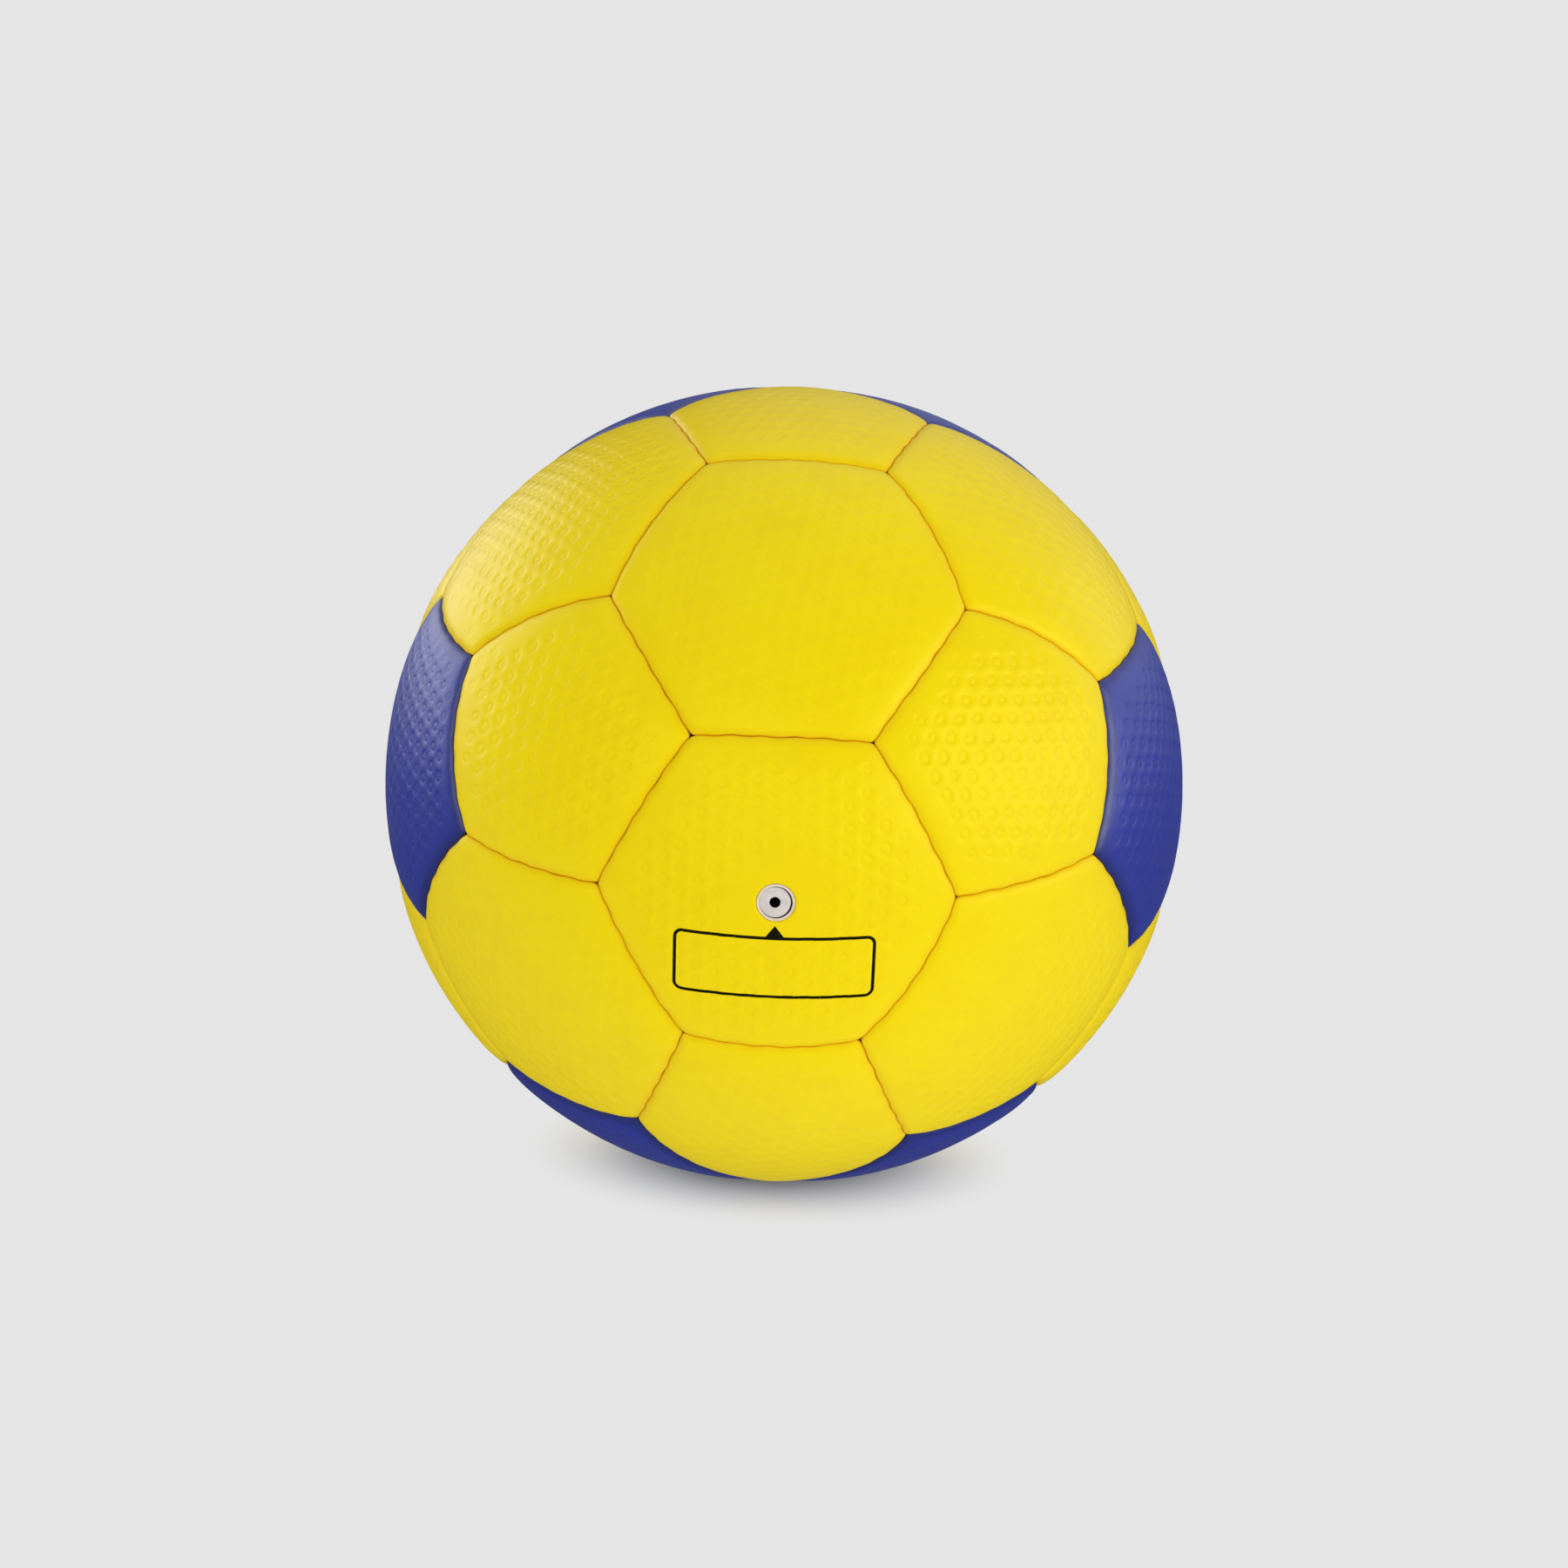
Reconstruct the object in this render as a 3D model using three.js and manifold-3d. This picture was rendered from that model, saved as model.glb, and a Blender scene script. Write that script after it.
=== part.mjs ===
// Hand-stitched handball: 32 panels round a rubber bladder with a needle valve.
// Millimetres. Origin at the ball's centre, +Z up, valve on the -Y side, mirror plane x = 0.
import * as THREE from 'three';
import { mergeVertices } from 'three/addons/utils/BufferGeometryUtils.js';
import Module from 'manifold-3d';

const wasm = await Module();
wasm.setup();

// The ball and its cover
const ballCircumference = 590;
const coverThickness = 3; // skin, foam and textile lining, laminated
const touchGap = 0.3; // between any two pieces that touch
const rollReach = 5; // how far from the seam a panel starts to roll over
const rollDepth = 1.4; // how deep the roll runs down to the lip
const turnedEdgeDepth = 6.2; // how far below the surface the turned-in edge reaches
const turnedEdgeThickness = 1.6; // the laminate where the stitches squeeze it
const crownFlattening = 0.25; // how much the shoulder of a panel lies below its crown

// The sewing thread
const threadWidth = 0.5;
const threadHeight = 0.6; // it lies in the groove, down to the lips

// The bladder
const bladderWall = 0.9;
const bulgeReach = 8; // from the seam to where the bladder bulges under a panel

// The valve
const needleHoleRadius = 1.1;
const needleHoleDepth = 6.5;
const slitWidth = 0.5; // the slit below the needle hole, which closes by itself
const valveRecess = 0.5; // how far the valve's face lies below the ball's surface
const coreHeadRadius = 3.2;
const coreHeadHeight = 1.8;
const coreStemRadius = 2.3;
const coreLength = 12;
const coreNose = 1.2; // the taper at the core's inner end
const edgeBreak = 0.3;
const rimWall = 0.5;
const housingFloor = 1.2;
const housingChamfer = 1;
const ventRadius = 0.8;
const flangeRadius = 11;
const flangeThickness = 1.2;
const patchRadius = 16;
const patchThickness = 0.8;

// How finely the round forms are divided
const sidePieces = 3;
const bladderSidePieces = 2;
const threadSidePieces = 2;
const rollPieces = 2;
const ringAcross = 0.45; // of the way from the seam to a panel's centre
const valveSides = 24;

// What follows from them
const ballRadius = ballCircumference / (2 * Math.PI);
const seamGapHalf = touchGap / 2;
const lipGap = threadWidth / 2 + touchGap; // from the middle of the seam to each lip
const fold = seamGapHalf + turnedEdgeThickness; // to the inner side of the turned-in edge
const cutExtra = 2; // how far a cut runs past what it cuts

// The finishes
const yellowSkin = { color: 0xf0d400, roughness: 0.5, metalness: 0 };
const blueSkin = { color: 0x2e3488, roughness: 0.45, metalness: 0 };
const brownThread = { color: 0xa87a12, roughness: 0.8, metalness: 0 };
const latex = { color: 0xc9a77a, roughness: 0.6, metalness: 0 };
const creamRubber = { color: 0xe0c8b8, roughness: 0.45, metalness: 0 };
const greyRubber = { color: 0xd6d0d2, roughness: 0.5, metalness: 0 };
const canvas = { color: 0xb9b4a6, roughness: 0.9, metalness: 0 };

const ball = new THREE.Group();

function addPiece(name, geometry, finish) {
  const mesh = new THREE.Mesh(geometry, new THREE.MeshStandardMaterial(finish));
  mesh.name = name;
  ball.add(mesh);
}

// Solids: a geometry becomes a solid for cutting and joining, and comes back as a geometry
function weld(geometry) {
  const bare = geometry.clone();
  bare.deleteAttribute('normal');
  bare.deleteAttribute('uv');
  return mergeVertices(bare, 1e-4);
}

function toSolid(geometry) {
  const bare = weld(geometry);
  const mesh = new wasm.Mesh({
    numProp: 3,
    vertProperties: new Float32Array(bare.attributes.position.array),
    triVerts: new Uint32Array(bare.index.array),
  });
  return new wasm.Manifold(mesh);
}

function toGeometry(solid) {
  const mesh = solid.getMesh();
  const geometry = new THREE.BufferGeometry();
  geometry.setAttribute('position', new THREE.BufferAttribute(mesh.vertProperties, 3));
  geometry.setIndex(new THREE.BufferAttribute(mesh.triVerts, 1));
  geometry.computeVertexNormals();
  return geometry;
}

function fromTriangles(triangles) {
  const points = triangles.flat();
  const geometry = new THREE.BufferGeometry().setFromPoints(points);
  return mergeVertices(geometry, 1e-4);
}

// The ball's pattern: a truncated icosahedron, turned so that one hexagon faces -Y
const golden = (1 + Math.sqrt(5)) / 2;
const valveTilt = Math.atan2(1 / golden, golden); // from the seam above the valve panel down to its centre
const patternTurn = new THREE.Matrix4().makeBasis(
  new THREE.Vector3(1, 0, 0),
  new THREE.Vector3(0, Math.sin(valveTilt), Math.cos(valveTilt)),
  new THREE.Vector3(0, -Math.cos(valveTilt), Math.sin(valveTilt)),
);

function icosahedronPoints() {
  const points = [];
  for (const a of [1, -1]) {
    for (const b of [golden, -golden]) {
      points.push([a, 0, b], [0, b, a], [b, a, 0]);
    }
  }
  return points.map((p) => new THREE.Vector3(...p));
}

// One panel: its centre direction, its corners in order as seen from outside, and the inward
// normals of the planes through the ball's centre that hold its seams
function makePanel(centre, corners) {
  const middle = centre.clone().normalize();
  const across = corners[0].clone().cross(middle).normalize();
  const up = middle.clone().cross(across);
  const turn = (p) => Math.atan2(p.dot(up), p.dot(across));
  const ring = [...corners].sort((p, q) => turn(p) - turn(q));
  const sides = ring.map((p, i) => p.clone().cross(ring[(i + 1) % ring.length]).normalize());
  const apothem = middle.dot(sides[0]) * ballRadius;
  return { middle, corners: ring, sides, apothem };
}

function makePanels() {
  const tips = icosahedronPoints();
  const near = (p, q) => Math.abs(p.distanceTo(q) - 2) < 1e-6;
  const corner = (p, q) => p.clone().multiplyScalar(2).add(q).normalize();
  const pentagons = [];
  const hexagons = [];
  tips.forEach((p, i) => {
    const around = tips.filter((q) => near(p, q));
    pentagons.push({ code: p, outline: around.map((q) => corner(p, q)) });
    tips.slice(i + 1).forEach((q, j) => {
      tips.slice(i + j + 2).forEach((r) => {
        if (near(p, q) && near(q, r) && near(p, r)) {
          const pairs = [[p, q], [q, p], [q, r], [r, q], [r, p], [p, r]];
          const code = p.clone().add(q).add(r).normalize().multiplyScalar(Math.sqrt(3));
          hexagons.push({ code, outline: pairs.map(([a, b]) => corner(a, b)) });
        }
      });
    });
  });
  const place = ({ code, outline }) => {
    const corners = outline.map((p) => p.applyMatrix4(patternTurn));
    const panel = makePanel(code.clone().applyMatrix4(patternTurn), corners);
    return { ...panel, code };
  };
  return { pentagons: pentagons.map(place), hexagons: hexagons.map(place) };
}

// A ring of points on a panel, at one distance from its seam planes and one depth
function panelRing(panel, fromSeam, depth, pieces) {
  const radius = ballRadius - depth;
  const count = panel.sides.length;
  const atCorner = (i) => {
    const before = panel.sides[(i + count - 1) % count];
    const after = panel.sides[i % count];
    const inward = before.clone().add(after).multiplyScalar(fromSeam / (1 + before.dot(after)));
    const reach = Math.sqrt(radius ** 2 - inward.lengthSq());
    return inward.addScaledVector(panel.corners[i % count], reach);
  };
  const ring = [];
  panel.sides.forEach((side, i) => {
    const start = atCorner(i);
    const end = atCorner(i + 1);
    const foot = side.clone().multiplyScalar(fromSeam);
    for (let k = 0; k < pieces; k += 1) {
      const along = start.clone().lerp(end, k / pieces).sub(foot);
      ring.push(foot.clone().add(along.setLength(Math.sqrt(radius ** 2 - fromSeam ** 2))));
    }
  });
  return ring;
}

// Surfaces between rings: a fan from a centre point to a ring, and a band between two rings
function fan(centre, ring) {
  return ring.map((p, i) => [centre, p, ring[(i + 1) % ring.length]]);
}

function band(inner, outer) {
  return inner.flatMap((p, i) => {
    const next = (i + 1) % inner.length;
    return [[p, outer[i], outer[next]], [p, outer[next], inner[next]]];
  });
}

const flipped = (triangles) => triangles.map(([a, b, c]) => [a, c, b]);
const pointAt = (panel, depth) => panel.middle.clone().multiplyScalar(ballRadius - depth);

// How far a panel's skin lies below its crown before the roll starts
function crownFall(panel, fromSeam) {
  return crownFlattening * (1 - fromSeam / panel.apothem) ** 2;
}

// A panel's section, as [distance from the seam, depth]: the skin runs from near the crown over the
// roll to the lip, the edge is turned in, and the lining runs back
function panelProfile(panel) {
  const inside = ringAcross * panel.apothem;
  const profile = [[inside, crownFall(panel, inside)]];
  const shoulder = crownFall(panel, rollReach);
  for (let k = 0; k <= rollPieces; k += 1) {
    const turn = (k / rollPieces) * (Math.PI / 2);
    const fromSeam = lipGap + (rollReach - lipGap) * (1 - Math.sin(turn));
    profile.push([fromSeam, shoulder + (rollDepth - shoulder) * (1 - Math.cos(turn))]);
  }
  const liningEdge = fold + turnedEdgeThickness;
  profile.push([seamGapHalf, rollDepth + lipGap - seamGapHalf]);
  profile.push([seamGapHalf, turnedEdgeDepth]);
  profile.push([fold, turnedEdgeDepth]);
  profile.push([liningEdge, coverThickness + crownFall(panel, liningEdge)]);
  profile.push([inside, coverThickness + crownFall(panel, inside)]);
  return profile;
}

function panelGeometry(panel) {
  const rings = panelProfile(panel).map(([g, depth]) => panelRing(panel, g, depth, sidePieces));
  const triangles = fan(pointAt(panel, 0), rings[0]);
  for (let i = 1; i < rings.length; i += 1) {
    triangles.push(...band(rings[i - 1], rings[i]));
  }
  triangles.push(...flipped(fan(pointAt(panel, coverThickness), rings.at(-1))));
  return fromTriangles(triangles);
}

// A slab between two depths below a panel's lining, on the lining's own facets
function liningSlab(panel, top, bottom) {
  const rings = panelProfile(panel).slice(-2).map(([g, depth]) => [g, depth - coverThickness]);
  const at = (depth) => rings.map(([g, fall]) => panelRing(panel, g, depth + fall, sidePieces));
  const [upperEdge, upper] = at(top);
  const [lowerEdge, lower] = at(bottom);
  return toSolid(fromTriangles([
    ...fan(pointAt(panel, top), upper),
    ...band(upper, upperEdge),
    ...band(upperEdge, lowerEdge),
    ...band(lowerEdge, lower),
    ...flipped(fan(pointAt(panel, bottom), lower)),
  ]));
}

// The thread lies in the groove of every seam, as one net with a point to its section
function threadGeometry(panels) {
  const key = (p) => p.toArray().map((v) => Math.round(v * 1000)).join(' ');
  const threadBottom = rollDepth - seamGapHalf;
  const triangles = [];
  const lines = new Map();
  const knots = new Map();
  for (const panel of panels) {
    const top = panelRing(panel, threadWidth / 2, threadBottom - threadHeight, threadSidePieces);
    const bottom = panelRing(panel, 0, threadBottom, threadSidePieces);
    triangles.push(...flipped(band(top, bottom)));
    panel.corners.forEach((corner, i) => {
      const next = panel.corners[(i + 1) % panel.corners.length];
      const line = [];
      for (let k = 0; k <= threadSidePieces; k += 1) {
        line.push(top[(i * threadSidePieces + k) % top.length]);
      }
      lines.set(`${key(corner)} to ${key(next)}`, line);
      knots.set(key(corner), [...(knots.get(key(corner)) ?? []), top[i * threadSidePieces]]);
    });
  }
  for (const [name, line] of lines) {
    const [from, to] = name.split(' to ');
    const other = lines.get(`${to} to ${from}`);
    if (from < to) {
      for (let k = 0; k < threadSidePieces; k += 1) {
        const a = other[threadSidePieces - k];
        const b = other[threadSidePieces - k - 1];
        triangles.push([line[k], a, b], [line[k], b, line[k + 1]]);
      }
    }
  }
  for (const [a, b, c] of knots.values()) {
    const outward = b.clone().sub(a).cross(c.clone().sub(a)).dot(a) > 0;
    triangles.push(outward ? [a, b, c] : [a, c, b]);
  }
  return fromTriangles(triangles);
}

// Round forms about the valve's axis, from a profile of [radius, depth below the ball's surface]
function turned(profile) {
  const points = profile.map(([r, depth]) => new THREE.Vector2(r, ballRadius - depth));
  return toSolid(new THREE.LatheGeometry(points, valveSides).rotateX(Math.PI));
}

function plug(radius, top, bottom) {
  return turned([[0, bottom], [radius, bottom], [radius, top], [0, top]]);
}

// The valve's stack, as depths below the ball's surface
const patchTop = coverThickness + touchGap;
const patchBottom = patchTop + patchThickness;
const flangeTop = patchBottom + touchGap;
const flangeBottom = flangeTop + flangeThickness;
const coreTop = valveRecess;
const coreShoulder = coreTop + coreHeadHeight;
const coreBottom = coreTop + coreLength;
const seatDepth = coreShoulder + touchGap;
const housingFloorTop = coreBottom + touchGap;
const housingBottom = housingFloorTop + housingFloor;
const headSeatRadius = coreHeadRadius + touchGap;
const boreRadius = coreStemRadius + touchGap;
const rimRadius = headSeatRadius + rimWall;
const clearHoleRadius = rimRadius + touchGap;

// The bladder bulges against every lining and is creased by the turned-in edges
const facetSag = ballRadius * (1 - Math.cos(valveTilt / 4)); // a facet of a lining, below its arc
const bulgeDepth = coverThickness + touchGap + facetSag;
const valveBulgeDepth = flangeBottom + touchGap;
const edgeClearDepth = turnedEdgeDepth + touchGap + facetSag / 2;
const creaseDepth = bulgeDepth + (edgeClearDepth - bulgeDepth) * (bulgeReach / (bulgeReach - fold));

function bladderSkin(panels, valvePanel, inset) {
  const triangles = panels.flatMap((panel) => {
    const depth = (panel === valvePanel ? valveBulgeDepth : bulgeDepth) + inset;
    const bulge = panelRing(panel, bulgeReach, depth, bladderSidePieces);
    const crease = panelRing(panel, 0, creaseDepth + inset, bladderSidePieces);
    return [...fan(pointAt(panel, depth), bulge), ...band(bulge, crease)];
  });
  return toSolid(fromTriangles(triangles));
}

function bladderGeometry(panels, valvePanel) {
  const outside = bladderSkin(panels, valvePanel, 0);
  const inside = bladderSkin(panels, valvePanel, bladderWall);
  const hole = plug(clearHoleRadius, flangeBottom - cutExtra, valveBulgeDepth + bladderWall + cutExtra);
  return toGeometry(outside.subtract(inside).subtract(hole));
}

// The valve housing: a rubber cup with a thin rim, a seat for the core's head and a flange that is
// bonded to the bladder
function housingGeometry(valvePanel) {
  const cup = turned([
    [ventRadius, housingBottom],
    [rimRadius - housingChamfer, housingBottom],
    [rimRadius, housingBottom - housingChamfer],
    [rimRadius, coreTop],
    [headSeatRadius, coreTop],
    [headSeatRadius, seatDepth],
    [boreRadius, seatDepth],
    [boreRadius, housingFloorTop],
    [ventRadius, housingFloorTop],
    [ventRadius, housingBottom],
  ]);
  const inCup = (headSeatRadius + rimRadius) / 2;
  const flange = liningSlab(valvePanel, flangeTop, flangeBottom)
    .intersect(plug(flangeRadius, flangeTop - cutExtra, flangeBottom + cutExtra))
    .subtract(plug(inCup, flangeTop - cutExtra, flangeBottom + cutExtra));
  return toGeometry(cup.add(flange));
}

// The valve core: a headed plug with a needle hole that ends in a slit
function coreGeometry() {
  const body = turned([
    [0, coreBottom],
    [coreStemRadius - coreNose / 2, coreBottom],
    [coreStemRadius, coreBottom - coreNose],
    [coreStemRadius, coreShoulder],
    [coreHeadRadius, coreShoulder],
    [coreHeadRadius, coreTop + edgeBreak],
    [coreHeadRadius - edgeBreak, coreTop],
    [0, coreTop],
  ]);
  const slitTop = coreTop + needleHoleDepth - slitWidth;
  const slitLength = coreBottom + cutExtra - slitTop;
  const slit = new THREE.BoxGeometry(2 * needleHoleRadius, slitLength, slitWidth);
  slit.translate(0, -(ballRadius - slitTop - slitLength / 2), 0);
  const hole = plug(needleHoleRadius, coreTop - cutExtra, coreTop + needleHoleDepth);
  return toGeometry(body.subtract(hole).subtract(toSolid(slit)));
}

function patchGeometry(valvePanel) {
  const top = patchTop - cutExtra;
  const bottom = patchBottom + cutExtra;
  const disc = liningSlab(valvePanel, patchTop, patchBottom).intersect(plug(patchRadius, top, bottom));
  return toGeometry(disc.subtract(plug(clearHoleRadius, top, bottom)));
}

function valvePanelGeometry(panel) {
  const hole = plug(clearHoleRadius, -cutExtra, coverThickness + cutExtra);
  return toGeometry(toSolid(panelGeometry(panel)).subtract(hole));
}

// Putting the ball together. The blue hexagons lie to the left, right, top and bottom of the seam
// above the valve panel, which is the middle of the pattern, and so they do at the back
const { pentagons, hexagons } = makePanels();
const valvePanel = hexagons.reduce((best, panel) => (panel.middle.y < best.middle.y ? panel : best));
const same = (a, b) => Math.abs(a - b) < 0.01;
const isBlue = ({ code }) => same(Math.abs(code.x), golden) || same(code.z, 0);
const byDepth = (p, q) => (same(p.y, q.y) ? p.x - q.x : p.y - q.y);
const byHeight = ({ middle: p }, { middle: q }) => (same(p.z, q.z) ? byDepth(p, q) : q.z - p.z);
const plainPanels = [
  ['yellow_pentagon', yellowSkin, pentagons],
  ['yellow_hexagon', yellowSkin, hexagons.filter((panel) => !isBlue(panel) && panel !== valvePanel)],
  ['blue_hexagon', blueSkin, hexagons.filter(isBlue)],
];
for (const [name, finish, panels] of plainPanels) {
  [...panels].sort(byHeight).forEach((panel, i) => {
    addPiece(`${name}_${String(i + 1).padStart(2, '0')}`, panelGeometry(panel), finish);
  });
}
const allPanels = [...pentagons, ...hexagons];
addPiece('valve_hexagon', valvePanelGeometry(valvePanel), yellowSkin);
addPiece('seam_thread', threadGeometry(allPanels), brownThread);
addPiece('bladder', bladderGeometry(allPanels, valvePanel), latex);
addPiece('valve_housing', housingGeometry(valvePanel), creamRubber);
addPiece('valve_core', coreGeometry(), greyRubber);
addPiece('valve_patch', patchGeometry(valvePanel), canvas);

export default ball;
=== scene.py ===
import math
import random

import bmesh
import bpy
from mathutils import Matrix, Vector, noise


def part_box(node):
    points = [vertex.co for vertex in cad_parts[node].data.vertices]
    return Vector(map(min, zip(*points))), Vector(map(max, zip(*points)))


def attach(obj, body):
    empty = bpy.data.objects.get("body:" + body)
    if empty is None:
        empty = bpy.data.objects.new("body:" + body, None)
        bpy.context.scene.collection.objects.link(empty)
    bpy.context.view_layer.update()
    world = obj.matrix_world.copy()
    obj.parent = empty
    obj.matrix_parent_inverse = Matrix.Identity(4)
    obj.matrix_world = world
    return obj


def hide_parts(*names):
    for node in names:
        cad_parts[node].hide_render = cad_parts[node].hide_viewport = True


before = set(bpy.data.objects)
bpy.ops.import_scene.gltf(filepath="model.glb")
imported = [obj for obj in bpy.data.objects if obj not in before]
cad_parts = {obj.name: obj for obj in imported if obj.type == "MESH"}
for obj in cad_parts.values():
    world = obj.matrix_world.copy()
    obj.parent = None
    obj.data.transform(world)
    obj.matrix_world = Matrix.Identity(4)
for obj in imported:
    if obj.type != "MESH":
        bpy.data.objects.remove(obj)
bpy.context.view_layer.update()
mm = 0.001
dice = random.Random(32)
sameSpot = {"pattern": 1e-4, "corner": 1e-3, "cut": 1e-7, "valve": 1e-6}
print("frame loaded with", len(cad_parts), "nodes")

# the ball sits in the frame with its valve towards -Y
ball = {
    "circumference": 590 * mm,
    "valveWay": Vector((0, -1, 0)),
    "upWay": Vector((0, 0, 1)),
}
ballRadius = ball["circumference"] / math.tau

# the photograph: a square picture, 1800 pixels a side, with the ball in the middle of it
photo = {
    "size": 1800,
    "ballRadius": 458.3,
    "elevation": math.radians(15.07),
    "azimuth": math.radians(0.48),
    "roll": math.radians(2.1),
    "distance": 6.8,  # in ball radii
    "sensor": 36,
}


def addCamera():
    lens = bpy.data.cameras.new("camera")
    away = photo["distance"]
    halfView = photo["size"] / 2 / photo["ballRadius"] / math.sqrt(away ** 2 - 1)
    lens.sensor_width = photo["sensor"]
    lens.lens = photo["sensor"] / 2 / halfView
    lens.clip_end = 100
    camera = bpy.data.objects.new("camera", lens)
    bpy.context.scene.collection.objects.link(camera)
    turn = Matrix.Rotation(photo["azimuth"], 4, "Z")
    tilt = Matrix.Rotation(math.pi / 2 - photo["elevation"], 4, "X")
    roll = Matrix.Rotation(photo["roll"], 4, "Z")
    aim = turn @ tilt @ roll
    camera.matrix_world = Matrix.Translation(aim.col[2].xyz * away * ballRadius) @ aim
    bpy.context.scene.camera = camera


addCamera()
print("camera placed")


# finishes

def mathNode(operation, turned=False):
    def apply(self, other):
        return self.reckon(operation, *((other, self) if turned else (self, other)))
    return apply


class Socket:
    # an output of a node; an expression on it adds Math nodes
    __add__ = __radd__ = mathNode("ADD")
    __sub__, __rsub__ = mathNode("SUBTRACT"), mathNode("SUBTRACT", turned=True)
    __mul__ = __rmul__ = mathNode("MULTIPLY")
    __truediv__ = mathNode("DIVIDE")
    __pow__ = mathNode("POWER")
    atLeast, atMost = mathNode("MAXIMUM"), mathNode("MINIMUM")

    def __init__(self, shading, socket):
        self.shading = shading
        self.socket = socket

    def reckon(self, operation, *values):
        return self.shading.node("ShaderNodeMath", {"operation": operation}, dict(enumerate(values)))

    def __abs__(self):
        return self.reckon("ABSOLUTE", self)

    def ramp(self, low, high):
        # 0 below low and 1 above high, smooth between them; low may be the greater
        values = {"Value": self, "From Min": low, "From Max": high}
        return self.shading.node("ShaderNodeMapRange", {"interpolation_type": "SMOOTHSTEP"}, values)


class Shading:
    def __init__(self, owner):
        # owner is a material or the world
        owner.use_nodes = True
        self.owner = owner
        self.tree = owner.node_tree
        self.tree.nodes.clear()

    def node(self, kind, settings={}, sockets={}, output=0):
        made = self.tree.nodes.new(kind)
        for name, value in settings.items():
            setattr(made, name, value)
        for name, value in sockets.items():
            if isinstance(value, Socket):
                self.tree.links.new(value.socket, made.inputs[name])
            else:
                made.inputs[name].default_value = value
        return Socket(self, made.outputs[output]) if made.outputs else made

    def blend(self, share, first, second, way="MIX"):
        # colours; socket 0 is the share, 6 and 7 the two colours, and output 2 the mixed one
        settings = {"data_type": "RGBA", "blend_type": way}
        return self.node("ShaderNodeMix", settings, {0: share, 6: first, 7: second}, 2)

    def place(self):
        return self.node("ShaderNodeTexCoord", output="Object")

    def noise(self, size, detail=2.0, roughness=0.5, vector=None):
        place = vector or self.place()
        sockets = {"Vector": place, "Scale": 1 / size, "Detail": detail, "Roughness": roughness}
        return self.node("ShaderNodeTexNoise", {}, sockets)

    def cells(self, size):
        sockets = {"Vector": self.place(), "Scale": 1 / size}
        return self.node("ShaderNodeTexVoronoi", {"feature": "F1"}, sockets)

    def attribute(self, name, output="Fac"):
        return self.node("ShaderNodeAttribute", {"attribute_name": name}, output=output)

    def parts(self, vector):
        return [self.node("ShaderNodeSeparateXYZ", {}, {0: vector}, axis) for axis in "XYZ"]

    def bump(self, height, depth, strength=1.0, under=None):
        sockets = {"Height": height, "Distance": depth, "Strength": strength}
        if under:
            sockets["Normal"] = under
        return self.node("ShaderNodeBump", {}, sockets)

    def surface(self, sockets):
        shader = self.node("ShaderNodeBsdfPrincipled", {}, sockets)
        self.node("ShaderNodeOutputMaterial", {}, {"Surface": shader})
        return self.owner


def tone(code):
    # a hex colour as linear light
    values = [int(code[i:i + 2], 16) / 255 for i in (0, 2, 4)]
    return (*[v / 12.92 if v <= 0.04045 else ((v + 0.055) / 1.055) ** 2.4 for v in values], 1)


def newFinish(name):
    return Shading(bpy.data.materials.new(name))


leather = {
    "grain": 0.42 * mm,
    "pores": 0.9 * mm,
    "mottle": 9 * mm,
    "cloud": 38 * mm,
    "grainDepth": 0.03 * mm, "grainStrength": 0.7,
    "poreDepth": 0.022 * mm, "poreStrength": 0.6,
    "creaseReach": (0.35, 0.05),  # millimetres from the seam where the painted groove shade starts and is full
    "creaseShare": 0.8,
    "edgeFull": 0.3,
    "cloudEdges": (0.35, 0.65), "cloudShare": 0.45,
    "mottleEdges": (0.4, 0.75), "mottleShare": 0.3,
    "pressedShare": 0.12, "grainShare": 0.25, "grainLift": 0.04,
    "matt": {"mottle": 0.12, "grain": 0.1, "pressed": 0.05, "crease": 0.25},  # pressed spots are glossier
    "coat": 0.02, "coatRoughness": 0.3, "sheenRoughness": 0.4,
}

yellowTones = {
    # crease is painted shade deep in the seam groove, amber where light bounces between the yellow walls
    "skin": tone("f9dd03"), "deep": tone("f1cf01"), "pale": tone("fbe10c"), "crease": tone("e6a60a"),
    # edge is painted shade on the roll beside the seams
    "edge": tone("f0c800"), "edgeReach": 2.0, "edgeShare": 0.35,
    "gloss": (1, 0.95, 0.14, 1), "specular": 0.45, "sheen": 0.005, "roughness": 0.36,
}
blueTones = {
    # crease is painted shade deep in the seam groove
    "skin": tone("1a2e9c"), "deep": tone("15268c"), "pale": tone("2138a8"), "crease": tone("0c1038"),
    # edge is painted shade on the roll beside the seams
    "edge": tone("0e164c"), "edgeReach": 4.2, "edgeShare": 0.45,
    "gloss": (1, 1, 1, 1), "specular": 1.0, "sheen": 0.02, "roughness": 0.42,
}

# the valve panel's generic marks, in millimetres across and above the valve
marks = {
    "frameHalf": (20.6, 6.7),
    "frameMiddle": -13.9,
    "frameCorner": 1.6,
    "line": 0.35,
    "frameSag": 0.5,  # the frame hangs a little lower at its middle than at its ends
    "pointerTip": -4.9,
    "pointerFoot": -7.6,
    "pointerHalf": 2.1,
    "soften": 0.05,
    "facing": (-60, -70),  # along the valve's axis, so that nothing shows at the back
    "ink": tone("0b0a08"),
    "inkWear": (0.16, 0.34), "inkMatt": 0.08,
}


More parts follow.
